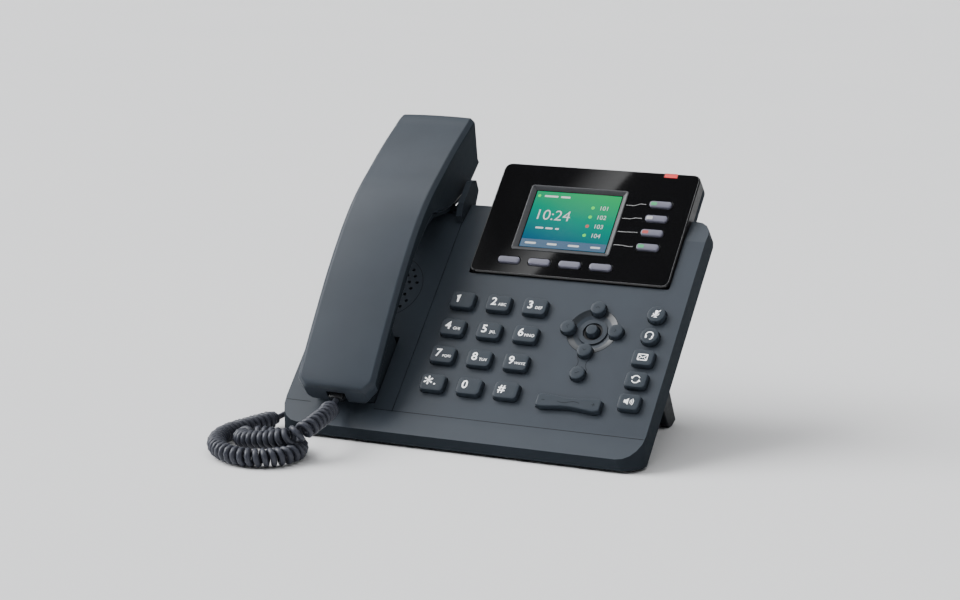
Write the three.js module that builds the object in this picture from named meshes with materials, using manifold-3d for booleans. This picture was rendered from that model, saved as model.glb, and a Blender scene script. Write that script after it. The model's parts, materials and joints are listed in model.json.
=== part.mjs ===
// A desk IP phone as an assembly of separate pieces: a slab-shaped base on a rear stand, a fixed
// display head, a full keypad, a curved handset in its cradle and the curly cord between them.
// Millimetres, +X to the right, +Y to the rear, +Z up, origin under the middle of the phone. The
// body is drawn from its front crease, with y 0 there. The sloping face has a frame of its own: x
// across, s up the slope from the front crease, n out of the face.
import * as THREE from "three";
import { mergeVertices } from "three/addons/utils/BufferGeometryUtils.js";
import Module from "manifold-3d";

const wasm = await Module();
wasm.setup();

// ---------- driving dimensions ----------

const GAP = 0.3;
const WALL = 2.5;

// Base slab
const TILT = THREE.MathUtils.degToRad(44);
const CREASE_Z = 15.7;
const MIDDLE_Y = 60.8;
const BASE_WIDTH = 202.3;
const FACE_LENGTH = 122.2;
const CHIN_LENGTH = 13.2;
const CHIN_TILT = THREE.MathUtils.degToRad(39.5);
const BAND_LENGTH = 15.1;
const BAND_TILT = THREE.MathUtils.degToRad(33.2);
const SKIRT = 13;
const BELLY_Z = 1.5;
const FRONT_CORNER = 12;
const TOP_CORNER = 9;

// Cradle at the left of the face: pockets for the mouth end, the ear end and the nose on the hook,
// each as its half width and the s it runs from and to
const HANDSET_X = -67.4;
const GROOVE_X = -38.1;
const POCKET_FLOOR = -7;
const POCKETS = [
  { half: 18, from: 3.6, to: 45.6 }, { half: 9, from: 118.1, to: 130 }, { half: 20.8, from: 129.1, to: 142 },
];
const GRILLE = { s: 77, radius: 17.5, pitch: 4.6, hole: 1.0 };
const PLUNGER = { s: 123.5, radius: 2.3, collar: 3.6, bottom: -15, hole: 2.7 };
const HORN_WIDTH = 3.4;
const HORN = [
  [122.5, -1.2], [132, -4], [132, -11], [137.5, -11], [140.3, -8], [148.7, -5.1], [150.6, 1.5],
  [146.8, 5.4], [131.3, 6.2], [124.5, 3.2],
];

// Display head
const HEAD = { x: 32.9, s: 90.8, n: 1.7, width: 112.9, length: 72.4, depth: 12.5, corner: 4 };
const HEAD_LEAN = THREE.MathUtils.degToRad(1);
const HEAD_KEY_TOP = 1.2;
const LCD = { x: -8.7, y: 37.3, width: 48.96, height: 36.72, frameWidth: 56, frameHeight: 42.8 };
const PILL = { width: 12.4, height: 4.4, corner: 1.6 };
const SOFT_KEYS = { count: 4, x: -35.4, y: 8.7, pitch: 17.4 };
const LINE_KEYS = { count: 4, x: 39, y: 51.3, pitch: 9.2 };
const LAMP = { x: 39.5, width: 7, length: 2.6, bottom: -3.2, top: -0.2 };

// Keys: each cap stands KEY_TOP above the face, on a flange that is wider than its hole
const KEY_TOP = 3;
const KEY_CORNER = 2.2;
const FLANGE = { top: -2.8, bottom: -3.6, rim: 0.9 };
const CLEAR = 0.4;
const DIAL = { x: -20.25, s: 71.1, pitchX: 20.75, pitchS: 17.5, width: 13.5, height: 10 };
const NAV = { x: 55.8, s: 61, radius: 13.2, button: 4.1, cancelDrop: 27.3, ok: 3.8, well: 6.2, dish: 1.5 };
const FUNCTION = { x: 88, s: 73.3, pitch: 13.42, round: 4.9, width: 11.5, height: 9.4 };
const ROCKER = { x: 56.5, s: 15.4, width: 35, height: 8.4, waist: 1.3, ends: 0.72, hub: 2.4, hubWidth: 6 };

// Handset, as a side outline (s, n) seen from the right
const HANDSET_WIDTH = 45.6;
const HANDSET_BEVEL = 2.5;
const HANDSET_WALL = 2;
const HANDSET_UNDER = [
  [0, 4.5], [8, 9.3], [19.5, 13.4], [30.5, 15.8], [40, 17.4], [51, 19.2], [65, 21], [80, 22.3],
  [95, 22.2], [106, 21.2], [113.5, 18.6], [119.5, 12.4], [126, 6.2], [132, 2], [139, -1.4],
  [147, -4.4], [157, -6.6], [172.5, -8.1],
];
const HANDSET_BACK = [
  [184.3, 10.5], [181.6, 16.6], [172, 19.7], [160, 23], [148, 25.8], [135, 28.3], [124, 30.4],
  [112, 31.8], [97, 31.9], [80, 30.5], [64, 28.4], [44, 24.8], [24, 20.9], [4, 16.4], [1, 14.6],
];
const EAR_BOSS = [
  [129.6, 4], [129.6, -3], [132, -6.7], [141, -6.7], [149, -10], [169.3, -11.4], [169.3, -2], [150, 6],
];
const HOOK_NOSE = [[118.6, 10], [118.6, -4], [121, -6.7], [132, -6.7], [132, 2]];
const NOSE_WIDTH = 16;
const MOUTH_BOSS = [[4, 7], [4, -4], [6.5, -6.7], [36, -6.7], [42, -2], [45, 15], [30, 13]];
const BOSS_WIDTH = 34;
const RECEIVER = { s: 154, radius: 13, bottom: -8.2, top: -3.4 };
const MICROPHONE = { s: 20, radius: 5.2, bottom: -4, top: 0.4 };
const LISTEN = { count: 6, ring: 6, radius: 1.1 };

// Curly cord on the table: the centreline of its outer envelope
const CORD = { wire: 3.2, outer: 10 };
const LEAD_TOP = [[-67.4, -6.8, 20.1], [-67.4, -7.4, 19.7], [-67.5, -8.2, 19.2]];
const COIL = [
  [-67.6, -9.9, 17.9], [-65.2, -18.5, 18], [-62.6, -28, 17.9], [-61.4, -38.4, 17.5], [-61.4, -48.5, 16.3],
  [-64.6, -55, 14.4], [-71.4, -56.9, 12], [-80.1, -55.8, 10], [-89, -54, 8.3], [-96.8, -50.6, 6.7],
  [-102.8, -43.6, 5.5], [-103.6, -37.4, 5.1], [-98.3, -34.6, 5.1], [-90.7, -34, 5.1],
  [-82.7, -34.6, 5.1], [-75, -38.6, 5.1], [-68.4, -45.6, 5.1], [-65, -54.5, 5.1], [-66, -62.6, 5.1],
  [-70.2, -68.6, 5.1], [-76.5, -72.8, 5.1], [-84.4, -74.4, 5.1], [-94, -72.4, 5.1],
  [-103.6, -65.8, 5.1], [-110.6, -56.4, 5.1], [-114.4, -45.4, 5.1], [-114.7, -33.8, 5.1],
  [-112.4, -24, 5.1], [-109.8, -14.5, 5.1], [-107.3, -6.5, 5.1], [-106.2, -2.5, 5.1],
];
const LEAD_SIDE = [
  [-106, -1.9, 5.1], [-105.4, 4, 5.3], [-104.4, 9.5, 6.2], [-101.9, 13.6, 7.2], [-98.4, 14.8, 7.6],
];

// Rear housing, ports and stand
const TUB = { half: 93, back: -25, wall: 2.2, end: 126, rim: 131.6 };
const PORTS = { half: 58, front: 18, rear: 50, bottom: 3, top: 33 };
const STAND = {
  half: 85.2, wall: 3, foot: [[80, 2.2], [83, 0], [87, 0]], heel: [93, 2.2], rear: [81.5, 22],
};
const STAND_WINDOW = { half: 60, low: 14, high: 30 };
const FOOT = { x: [-49, 76], width: 14.4, front: -6.4, rear: 2.6, height: 1.2 };

// Sockets: the handset jack in the left side wall, the others in the rear wall of the port box
const JACK = {
  y: 14.8, z: 7.6, half: 6, depth: 13, bottom: 4.2, top: 11.5, mouth: [4.1, 2.5], mouthDepth: 10,
};
const NETWORK = {
  x: [-31, 5], z: [6, 20], sockets: [-22.5, -3.5], half: 5.9, mouth: [8.6, 16.8], depth: 14,
};
const POWER = { x: [18, 30], z: [6, 17], centre: [24, 11.5], bore: 3.2, pin: 0.9, depth: 11 };
const BLOCK_DEPTH = 19;
const PLUG = { half: [3.7, 2.2], outside: 4.9, inside: 8 };

// What the base holds under its face: two sheets, each as [x, s, n] of its low and high corners, and
// the loudspeaker as a turned profile (radius, n)
const MAIN_BOARD = [[-34, 9, -10.2], [95, 84, -8.6]];
const MEMBRANE = [[-33, 8.5, -6.4], [96, 82, -5.2]];
const DRIVER = [[0, -14], [8, -14], [8, -9], [19, -5], [19.5, -3.4], [0, -3.4]];

// ---------- frames ----------

const faceMatrix = new THREE.Matrix4().makeRotationX(TILT).setPosition(0, 0, CREASE_Z);
const faceInverse = faceMatrix.clone().invert();
// A point of the side view (y, z) as (s, n) of the face
function onFace([y, z]) {
  const p = new THREE.Vector3(0, y, z).applyMatrix4(faceInverse);
  return [p.y, p.z];
}

// ---------- solids ----------

function solid(geometry) {
  const bare = geometry.clone();
  bare.deleteAttribute("normal");
  bare.deleteAttribute("uv");
  const merged = mergeVertices(bare, 1e-4);
  return new wasm.Manifold(new wasm.Mesh({
    numProp: 3,
    vertProperties: merged.attributes.position.array,
    triVerts: new Uint32Array(merged.index.array),
  }));
}

function geometryOf(manifold) {
  const mesh = manifold.getMesh();
  const geometry = new THREE.BufferGeometry();
  geometry.setAttribute("position", new THREE.BufferAttribute(mesh.vertProperties, 3));
  geometry.setIndex(new THREE.BufferAttribute(mesh.triVerts, 1));
  geometry.computeVertexNormals();
  return geometry;
}

const union = (...parts) => parts.reduce((a, b) => a.add(b));
const cut = (body, ...tools) => tools.reduce((a, b) => a.subtract(b), body);

function shapeOf(points) {
  return new THREE.Shape(points.map(([x, y]) => new THREE.Vector2(x, y)));
}

// Points of a rectangle with round corners, centred on (cx, cy); radii of the low and high corners
function roundRect(width, height, low, high = low, cx = 0, cy = 0, steps = 3) {
  const points = [];
  const corner = (x, y, r, from) => {
    for (let i = 0; i <= steps; i++) {
      const a = from + (i / steps) * (Math.PI / 2);
      points.push([cx + x + r * Math.cos(a), cy + y + r * Math.sin(a)]);
    }
  };
  const [w, h] = [width / 2, height / 2];
  corner(w - low, -h + low, low, -Math.PI / 2);
  corner(w - high, h - high, high, 0);
  corner(-w + high, h - high, high, Math.PI / 2);
  corner(-w + low, -h + low, low, Math.PI);
  return points;
}

function circle(radius, cx = 0, cy = 0, sides = 20) {
  return Array.from({ length: sides }, (_, i) => {
    const a = (i / sides) * 2 * Math.PI;
    return [cx + radius * Math.cos(a), cy + radius * Math.sin(a)];
  });
}

// A polygon with its edges moved inwards, each by the distance given for its number
function inset(points, distance) {
  const area = points.reduce((sum, [x, y], i) => {
    const [u, v] = points[(i + 1) % points.length];
    return sum + x * v - u * y;
  }, 0);
  const turn = Math.sign(area);
  const lines = points.map(([x, y], i) => {
    const [u, v] = points[(i + 1) % points.length];
    const length = Math.hypot(u - x, v - y);
    const d = distance(i);
    const normal = [(-turn * (v - y)) / length, (turn * (u - x)) / length];
    return { at: [x + normal[0] * d, y + normal[1] * d], along: [u - x, v - y] };
  });
  return lines.map((line, i) => {
    const before = lines[(i + lines.length - 1) % lines.length];
    const cross = before.along[0] * line.along[1] - before.along[1] * line.along[0];
    if (Math.abs(cross) < 1e-6) return line.at;
    const dx = line.at[0] - before.at[0];
    const dy = line.at[1] - before.at[1];
    const t = (dx * line.along[1] - dy * line.along[0]) / cross;
    return [before.at[0] + before.along[0] * t, before.at[1] + before.along[1] * t];
  });
}

// A flat outline (x, s) raised along n, with an optional chamfer around its top edge
function raised(points, bottom, top, chamfer = 0) {
  if (!chamfer) {
    const plain = { depth: top - bottom, bevelEnabled: false };
    return solid(new THREE.ExtrudeGeometry(shapeOf(points), plain).translate(0, 0, bottom));
  }
  const options = {
    depth: top - bottom - 2 * chamfer,
    bevelThickness: chamfer,
    bevelSize: chamfer,
    bevelOffset: -chamfer,
    bevelSegments: 1,
  };
  const geometry = new THREE.ExtrudeGeometry(shapeOf(points), options).translate(0, 0, bottom + chamfer);
  const root = raised(points, bottom, (bottom + top) / 2);
  return solid(geometry).add(root);
}

const sideways = new THREE.Matrix4().makeBasis(
  new THREE.Vector3(0, 1, 0), new THREE.Vector3(0, 0, 1), new THREE.Vector3(1, 0, 0));

// A side outline (s, n) drawn out across the width, centred on x, with an optional edge bevel
function across(points, width, x = 0, bevel = 0) {
  const options = { depth: width, bevelEnabled: false };
  const bevelled = {
    depth: width - 2 * bevel,
    bevelThickness: bevel,
    bevelSize: bevel,
    bevelOffset: -bevel,
    bevelSegments: 1,
  };
  const geometry = new THREE.ExtrudeGeometry(shapeOf(points), bevel ? bevelled : options);
  geometry.translate(0, 0, x - width / 2 + bevel);
  return solid(geometry.applyMatrix4(sideways));
}

function box(low, high) {
  const size = high.map((v, i) => v - low[i]);
  const geometry = new THREE.BoxGeometry(...size);
  return solid(geometry.translate(...low.map((v, i) => v + size[i] / 2)));
}

// A turned piece about n: profile points are (radius, n), first and last on the axis
function turned(profile, x, s, sides = 24) {
  const points = profile.map(([r, n]) => new THREE.Vector2(r, n));
  const geometry = new THREE.LatheGeometry(points, sides).rotateX(Math.PI / 2);
  return solid(geometry.translate(x, s, 0));
}

function disc(radius, bottom, top, x, s, sides = 24) {
  return raised(circle(radius, x, s, sides), bottom, top);
}

// A round tube along a curve
function tube(points, diameter, sides, steps) {
  const path = new THREE.CatmullRomCurve3(points.map((p) => new THREE.Vector3(...p)));
  const section = shapeOf(circle(diameter / 2, 0, 0, sides));
  return new THREE.ExtrudeGeometry(section, { steps, extrudePath: path, bevelEnabled: false });
}

// A solid drawn in the frame of the phone, turned into the frame of the face
const toFace = (manifold) => manifold.transform(faceInverse.elements);

// ---------- materials and placing ----------

const finish = (color, roughness, metalness = 0) => ({ color, roughness, metalness });
const SLATE = finish(0x555d65, 0.5);
const SLATE_DARK = finish(0x34383d, 0.55);
const KEYCAP = finish(0x585f67, 0.45);
const GLOSS_BLACK = finish(0x0b0b0d, 0.08);
const RUBBER = finish(0x1c1d1f, 0.85);
const STEEL = finish(0xb8bcc0, 0.3, 0.9);
const BOARD = finish(0x1d5a35, 0.5);
const CLEAR_PLASTIC = finish(0x4a4d52, 0.3);
const PANEL_GREEN = finish(0x3b6f5a, 0.3);
const LAMP_RED = finish(0x8e1620, 0.3);

const phone = new THREE.Group();
const part = new THREE.Group();
part.position.y = -MIDDLE_Y;
phone.add(part);
const face = new THREE.Group();
face.position.set(0, 0, CREASE_Z);
face.rotation.x = TILT;
part.add(face);
const head = new THREE.Group();
head.position.set(HEAD.x, HEAD.s, HEAD.n);
head.rotation.x = HEAD_LEAN;
face.add(head);

function place(group, name, shape, look, x = 0, y = 0, z = 0) {
  const geometry = shape.isBufferGeometry ? shape : geometryOf(shape);
  const mesh = new THREE.Mesh(geometry, new THREE.MeshStandardMaterial(look));
  mesh.name = name;
  mesh.position.set(x, y, z);
  group.add(mesh);
}

// ---------- key layout, shared by the caps and their holes ----------

// A key: its outline grown by a clearance, where its centre sits, and how much lower its top is
const keys = [];
const dialNames = ["1", "2", "3", "4", "5", "6", "7", "8", "9", "star", "0", "hash"];
dialNames.forEach((name, i) => keys.push({
  name: "dial_key_" + name,
  outline: (grow) => roundRect(DIAL.width + 2 * grow, DIAL.height + 2 * grow, KEY_CORNER + grow),
  x: DIAL.x + (i % 3) * DIAL.pitchX,
  s: DIAL.s - Math.floor(i / 3) * DIAL.pitchS,
}));
["right", "up", "left", "down"].forEach((name, i) => keys.push({
  name: "nav_key_" + name,
  outline: (grow) => circle(NAV.button + grow),
  x: NAV.x + NAV.radius * Math.round(Math.cos(i * Math.PI / 2)),
  s: NAV.s + NAV.radius * Math.round(Math.sin(i * Math.PI / 2)),
}));
keys.push({
  name: "nav_key_ok",
  outline: (grow) => circle(NAV.ok + grow),
  x: NAV.x,
  s: NAV.s,
  sunk: 1,
});
keys.push({
  name: "cancel_key",
  outline: (grow) => circle(NAV.button + grow),
  x: NAV.x,
  s: NAV.s - NAV.cancelDrop,
});
["mute", "headset"].forEach((name, i) => keys.push({
  name: name + "_key",
  outline: (grow) => circle(FUNCTION.round + grow),
  x: FUNCTION.x,
  s: FUNCTION.s - i * FUNCTION.pitch,
}));
["message", "redial", "speaker"].forEach((name, i) => keys.push({
  name: name + "_key",
  outline: (grow) => roundRect(FUNCTION.width + 2 * grow, FUNCTION.height + 2 * grow, KEY_CORNER + grow),
  x: FUNCTION.x,
  s: FUNCTION.s - (i + 2) * FUNCTION.pitch,
}));

// Pill-shaped keys of the display head, in the head's own frame
const headKeys = [];
const pill = (grow) => roundRect(PILL.width + 2 * grow, PILL.height + 2 * grow, PILL.corner + grow);
for (let i = 0; i < SOFT_KEYS.count; i++) {
  headKeys.push({
    name: "soft_key_" + (i + 1), outline: pill, x: SOFT_KEYS.x + SOFT_KEYS.pitch * i, s: SOFT_KEYS.y,
  });
}
for (let i = 0; i < LINE_KEYS.count; i++) {
  headKeys.push({
    name: "line_key_" + (i + 1), outline: pill, x: LINE_KEYS.x, s: LINE_KEYS.y - LINE_KEYS.pitch * i,
  });
}

// The hole a key looks out of
const keyHole = (key) => raised(key.outline(CLEAR), -6, 6).translate([key.x, key.s, 0]);

// Rocker outline: two waves that narrow at the middle
function rockerOutline(grow) {
  const steps = 6;
  const half = ROCKER.width / 2 + grow;
  const upper = [];
  for (let i = steps; i >= -steps; i--) {
    const t = i / steps;
    const wave = ROCKER.height / 2 + grow - ROCKER.waist * Math.cos((t * Math.PI) / 2) ** 2;
    upper.push([t * half, wave * (Math.abs(i) === steps ? ROCKER.ends : 1)]);
  }
  const lower = upper.map(([x, y]) => [x, -y]).reverse();
  return [...lower, ...upper];
}

// ---------- front housing ----------

const bandBend = BAND_TILT - TILT;
const chinEnd = onFace([-CHIN_LENGTH * Math.cos(CHIN_TILT), CREASE_Z - CHIN_LENGTH * Math.sin(CHIN_TILT)]);
const frontLow = onFace([-CHIN_LENGTH * Math.cos(CHIN_TILT) + 0.4, BELLY_Z]);
const bandEnd = [FACE_LENGTH + BAND_LENGTH * Math.cos(bandBend), BAND_LENGTH * Math.sin(bandBend)];
// Where the skirt's lower edge comes down to the belly
const skirtFoot = [(BELLY_Z - CREASE_Z + SKIRT * Math.cos(TILT)) / Math.sin(TILT), -SKIRT];
const BASE_SIDE = [
  frontLow, skirtFoot, [bandEnd[0] - 1.6, -SKIRT], bandEnd, [FACE_LENGTH, 0], [0, 0], chinEnd,
];

const planLow = frontLow[0] - 4;
const basePlan = (shrink) => roundRect(
  BASE_WIDTH - 2 * shrink, bandEnd[0] - planLow - shrink, 1, TOP_CORNER,
  0, (bandEnd[0] - shrink + planLow) / 2, 4);

// Everything within the front corners, which are rounded about the vertical
function frontCorners(shrink) {
  const depth = 190;
  const low = -CHIN_LENGTH * Math.cos(CHIN_TILT) + shrink;
  const corner = FRONT_CORNER - shrink;
  const outline = roundRect(BASE_WIDTH - 2 * shrink, depth, corner, 1, 0, low + depth / 2, 5);
  return toFace(raised(outline, -20, 160));
}

// The rooms of the cradle, grown by a wall
function cradle(grow) {
  return union(...POCKETS.map(({ half, from, to }) => box(
    [HANDSET_X - half - grow, from - grow, POCKET_FLOOR - grow], [HANDSET_X + half + grow, to + grow, 5])));
}

// The box that the display head sinks into, grown by a clearance or a wall
function headPocket(grow, open) {
  const reach = HEAD.length + 10;
  const pocket = raised(
    roundRect(HEAD.width + 2 * grow, reach + 2 * grow, 1, 1, 0, reach / 2), -HEAD.depth - grow, open);
  const seat = new THREE.Matrix4().makeRotationX(HEAD_LEAN).setPosition(HEAD.x, HEAD.s, HEAD.n);
  return pocket.transform(seat.elements);
}

function speakerHoles() {
  const holes = [];
  const reach = Math.floor(GRILLE.radius / GRILLE.pitch);
  for (let i = -reach; i <= reach; i++) {
    for (let j = -reach; j <= reach; j++) {
      const dx = (i + (j % 2) / 2) * GRILLE.pitch;
      const ds = j * GRILLE.pitch * 0.87;
      if (Math.hypot(dx, ds) > GRILLE.radius) continue;
      holes.push(disc(GRILLE.hole, -WALL - 1, 1, HANDSET_X + dx, GRILLE.s + ds, 6));
    }
  }
  return union(...holes);
}

// The shallow dish between the navigation keys and the well in its middle
function navDish() {
  const rim = NAV.radius + 0.4;
  const dish = turned([
    [0, -1.1], [NAV.well, -1.1], [NAV.well + 0.3, -NAV.dish], [NAV.radius - 1, -0.7],
    [rim, 0], [rim, 1], [0, 1],
  ], NAV.x, NAV.s, 40);
  const well = turned([[0, -1.4], [NAV.ok + 1.4, -1.4], [NAV.well - 0.4, 2], [0, 2]], NAV.x, NAV.s, 40);
  return [dish, well];
}

// A short tube under the face that guides the OK key
function okTube() {
  const outside = disc(NAV.well + 1.6, -FLANGE.rim - 1.5, -0.5, NAV.x, NAV.s);
  return cut(outside, disc(NAV.ok + CLEAR, -9, 9, NAV.x, NAV.s));
}

// The fine seam that runs up the face to the right of the cradle
function faceSeam() {
  const [depth, width] = [0.5, 0.7];
  const end = [bandEnd[0] + 1, bandEnd[1] - 0.7];
  return across([[0, -depth], [FACE_LENGTH, -depth], end, [end[0], 2], [0, 2]], width, GROOVE_X);
}

function frontHousing() {
  const block = across(BASE_SIDE, BASE_WIDTH)
    .intersect(raised(basePlan(0), -40, 40))
    .intersect(frontCorners(0));
  const openBehind = (i) => (i < 2 ? -6 : WALL);
  const hollow = across(inset(BASE_SIDE, openBehind), BASE_WIDTH)
    .intersect(raised(basePlan(WALL), -40, 40))
    .intersect(frontCorners(WALL));
  const room = cut(hollow, cradle(WALL * 0.8), headPocket(WALL, 10));
  const shell = cut(block, room, cradle(0), headPocket(GAP, 20));
  const [dish, well] = navDish();
  const rockerHole = raised(rockerOutline(CLEAR), -6, 6).translate([ROCKER.x, ROCKER.s, 0]);
  const plungerHole = disc(PLUNGER.hole, -12, 0, HANDSET_X, PLUNGER.s, 16);
  const holes = [...keys.map(keyHole), rockerHole, speakerHoles(), plungerHole];
  return cut(cut(shell, dish).add(okTube()), well, faceSeam(), ...holes).add(cradleHorns());
}

// Two small horns beyond the top edge, one on each side of the ear end of the handset
function cradleHorns() {
  const away = GROOVE_X - HANDSET_X - HORN_WIDTH / 2;
  return union(...[-1, 1].map((side) => across(HORN, HORN_WIDTH, HANDSET_X + side * away)));
}

place(face, "front_housing", frontHousing(), SLATE);

// ---------- rear housing, ports, stand and feet ----------

// How far up the slope a plane n under the face comes down to a height
const meets = (n, z) => (z - CREASE_Z - n * Math.cos(TILT)) / Math.sin(TILT);

// Side outline of the tub behind the slab
function tubOutline() {
  const lip = TUB.back + 14;
  return [
    onFace([-7, BELLY_Z]), [meets(TUB.back, BELLY_Z), TUB.back], [TUB.end, TUB.back], [TUB.rim, lip],
    [meets(lip, BELLY_Z) + 6, lip], onFace([-7, 5.2]),
  ];
}

// The room inside it, open towards the face
function tubRoom() {
  const floor = TUB.back + TUB.wall;
  const low = BELLY_Z + TUB.wall;
  return [
    onFace([-5, low]), [meets(floor, low), floor], [TUB.end - 1, floor], [TUB.rim - 2, -9], [-2, -9],
    onFace([-5, 8]),
  ];
}

function portBox() {
  const { half, front, rear, bottom, top } = PORTS;
  const wall = TUB.wall;
  const outside = [[front, bottom], [rear, bottom], [rear, top], [front, bottom + 8]];
  const inside = [
    [front - 4, bottom + wall], [rear - wall, bottom + wall], [rear - wall, top + 3], [front - 4, top - 20],
  ];
  return [toFace(across(outside, 2 * half)), toFace(across(inside, 2 * (half - wall)))];
}

// A window in the rear wall of the port box, a gap wider than the socket block behind it
function portWindow({ x, z }) {
  return toFace(box([x[0] - GAP, PORTS.rear - 5, z[0] - GAP], [x[1] + GAP, PORTS.rear + 5, z[1] + GAP]));
}

function jackWindow() {
  const reach = JACK.half + GAP;
  return toFace(box(
    [-TUB.half - 10, JACK.y - reach, JACK.bottom - GAP], [-TUB.half + 4, JACK.y + reach, JACK.top + GAP]));
}

// The lip that closes the slab from below, level with the edge of its skirt
function closingLip(shrink) {
  const low = -SKIRT + 0.2;
  return raised(basePlan(shrink), low, low + TUB.wall)
    .intersect(box([-BASE_WIDTH, -60, -40], [BASE_WIDTH, TUB.rim, 20]))
    .intersect(toFace(box([-BASE_WIDTH, -60, BELLY_Z], [BASE_WIDTH, 200, 200])));
}

function rearHousing() {
  const shrink = WALL + GAP + 0.2;
  const tub = across(tubOutline(), 2 * TUB.half);
  const room = across(tubRoom(), 2 * (TUB.half - TUB.wall));
  const [ports, portsRoom] = portBox();
  return cut(
    union(closingLip(shrink), tub, ports).intersect(frontCorners(shrink)),
    room, portsRoom, headPocket(WALL + GAP, 30), portWindow(NETWORK), portWindow(POWER), jackWindow());
}

place(face, "rear_housing", rearHousing(), SLATE_DARK);

// A socket block behind the rear wall of the port box
function socketBlock({ x, z }) {
  return box([x[0], PORTS.rear - BLOCK_DEPTH, z[0]], [x[1], PORTS.rear, z[1]]);
}

function networkJacks() {
  const { half, mouth, depth, sockets } = NETWORK;
  const rooms = sockets.map((x) => box(
    [x - half, PORTS.rear - depth, mouth[0]], [x + half, PORTS.rear + 1, mouth[1]]));
  return cut(socketBlock(NETWORK), ...rooms);
}
place(part, "ethernet_jacks", networkJacks(), STEEL);

function powerJack() {
  const [x, z] = POWER.centre;
  const bore = raised(circle(POWER.bore, x, -z, 16), -PORTS.rear - 1, -PORTS.rear + POWER.depth);
  const pin = raised(circle(POWER.pin, x, -z, 8), -PORTS.rear + 1, -PORTS.rear + POWER.depth + 1);
  const turn = new THREE.Matrix4().makeRotationX(-Math.PI / 2);
  return cut(socketBlock(POWER), cut(bore, pin).transform(turn.elements));
}
place(part, "dc_power_jack", powerJack(), RUBBER);

function baseHandsetJack() {
  const x = -TUB.half;
  const { y, z, half, depth, bottom, top, mouth, mouthDepth } = JACK;
  const block = box([x, y - half, bottom], [x + depth, y + half, top]);
  const room = box([x - 1, y - mouth[0], z - mouth[1]], [x + mouthDepth, y + mouth[0], z + mouth[1]]);
  return cut(block, room);
}
place(part, "base_handset_jack", baseHandsetJack(), RUBBER);

// A wedge that hooks over the port box and leans back to the table behind it
function standBracket() {
  // The underside of the tub, as y at a height z
  const underside = (z) => 19.9 + (z + 2.3) / Math.tan(TILT) - 2.4;
  const { half, wall, foot, heel, rear } = STAND;
  const clear = GAP + 0.2;
  const [low, high] = [34, 45.5].map((z) => [underside(z) + clear, z]);
  const outline = [...foot, heel, rear, high, low];
  const inner = [
    [72, 6], [84.6, 6], [rear[0] - wall, rear[1] - 1],
    [high[0] - 3.4, high[1] - 5.8], [low[0] - 8, low[1] - 4],
  ];
  const body = across(outline, 2 * half);
  const hollow = across(inner, 2 * (half - wall));
  const window = box(
    [-STAND_WINDOW.half, 60, STAND_WINDOW.low], [STAND_WINDOW.half, 100, STAND_WINDOW.high]);
  return cut(body, hollow, window);
}
place(part, "stand_bracket", standBracket(), SLATE_DARK);

["left", "right"].forEach((side, i) => {
  const [low, high] = [-1, 1].map((way) => FOOT.x[i] + (way * FOOT.width) / 2);
  const foot = box([low, FOOT.front, 0], [high, FOOT.rear, FOOT.height]);
  place(part, "front_foot_" + side, foot, RUBBER);
});

// ---------- what the base holds ----------

function hookPlunger() {
  const stem = disc(PLUNGER.radius, PLUNGER.bottom + 1, POCKET_FLOOR, HANDSET_X, PLUNGER.s, 16);
  const collar = disc(PLUNGER.collar, PLUNGER.bottom, PLUNGER.bottom + 1.8, HANDSET_X, PLUNGER.s, 16);
  return union(stem, collar);
}

place(face, "main_pcb", box(...MAIN_BOARD), BOARD);
place(face, "keypad_membrane", box(...MEMBRANE), RUBBER);
place(face, "speaker_driver", turned(DRIVER, HANDSET_X, GRILLE.s), STEEL);
place(face, "hook_plunger", hookPlunger(), RUBBER);

// ---------- keys ----------

function keyCap(key, top) {
  const cap = raised(key.outline(0), FLANGE.bottom, top, 0.5);
  const flange = raised(key.outline(CLEAR + FLANGE.rim), FLANGE.bottom, FLANGE.top);
  return cap.add(flange);
}

for (const key of keys) {
  const top = key.sunk ? KEY_TOP - key.sunk : KEY_TOP;
  place(face, key.name, keyCap(key, top), KEYCAP, key.x, key.s);
}
for (const key of headKeys) {
  place(head, key.name, keyCap(key, HEAD_KEY_TOP), KEYCAP, key.x, key.s);
}

function volumeRocker() {
  const cap = raised(rockerOutline(0), -2.2, KEY_TOP, 0.5);
  const { hub, hubWidth } = ROCKER;
  return cap.add(across([[-hub, -4.6], [hub, -4.6], [hub, -2], [-hub, -2]], hubWidth));
}
place(face, "volume_rocker", volumeRocker(), KEYCAP, ROCKER.x, ROCKER.s);

// ---------- display head ----------

const headOutline = (shrink) => roundRect(
  HEAD.width - 2 * shrink, HEAD.length - 2 * shrink, HEAD.corner - shrink / 2, HEAD.corner - shrink / 2,
  0, HEAD.length / 2);

// A rectangle with round corners about the middle of the display
const aroundLcd = (width, height, corner) => roundRect(width, height, corner, corner, LCD.x, LCD.y);

// The red message lamp at the top edge, grown by a clearance
function lamp(grow) {
  const top = HEAD.length - 0.1;
  const half = LAMP.width / 2 + grow;
  return box(
    [LAMP.x - half, top - LAMP.length - grow, LAMP.bottom - grow],
    [LAMP.x + half, top + 4 * grow, LAMP.top + 4 * grow]);
}

function headBezel() {
  const shell = raised(headOutline(0), -8, 0, 0.6);
  const room = raised(headOutline(1.8), -9, -2.4);
  const opening = raised(aroundLcd(LCD.frameWidth, LCD.frameHeight, 1.5), -5, 5);
  return cut(shell, room, opening, lamp(GAP), ...headKeys.map(keyHole));
}

function headRearCover() {
  const shell = raised(headOutline(0), -HEAD.depth, -5, 3);
  const cover = shell.intersect(raised(headOutline(0), -HEAD.depth, -8.3));
  const room = raised(headOutline(3.2), -HEAD.depth + 1.8, -6);
  return cut(cover, room);
}

function displayWindow() {
  return raised(aroundLcd(LCD.frameWidth - 2 * GAP, LCD.frameHeight - 2 * GAP, 1.2), -2.4, -1.2);
}

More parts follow.
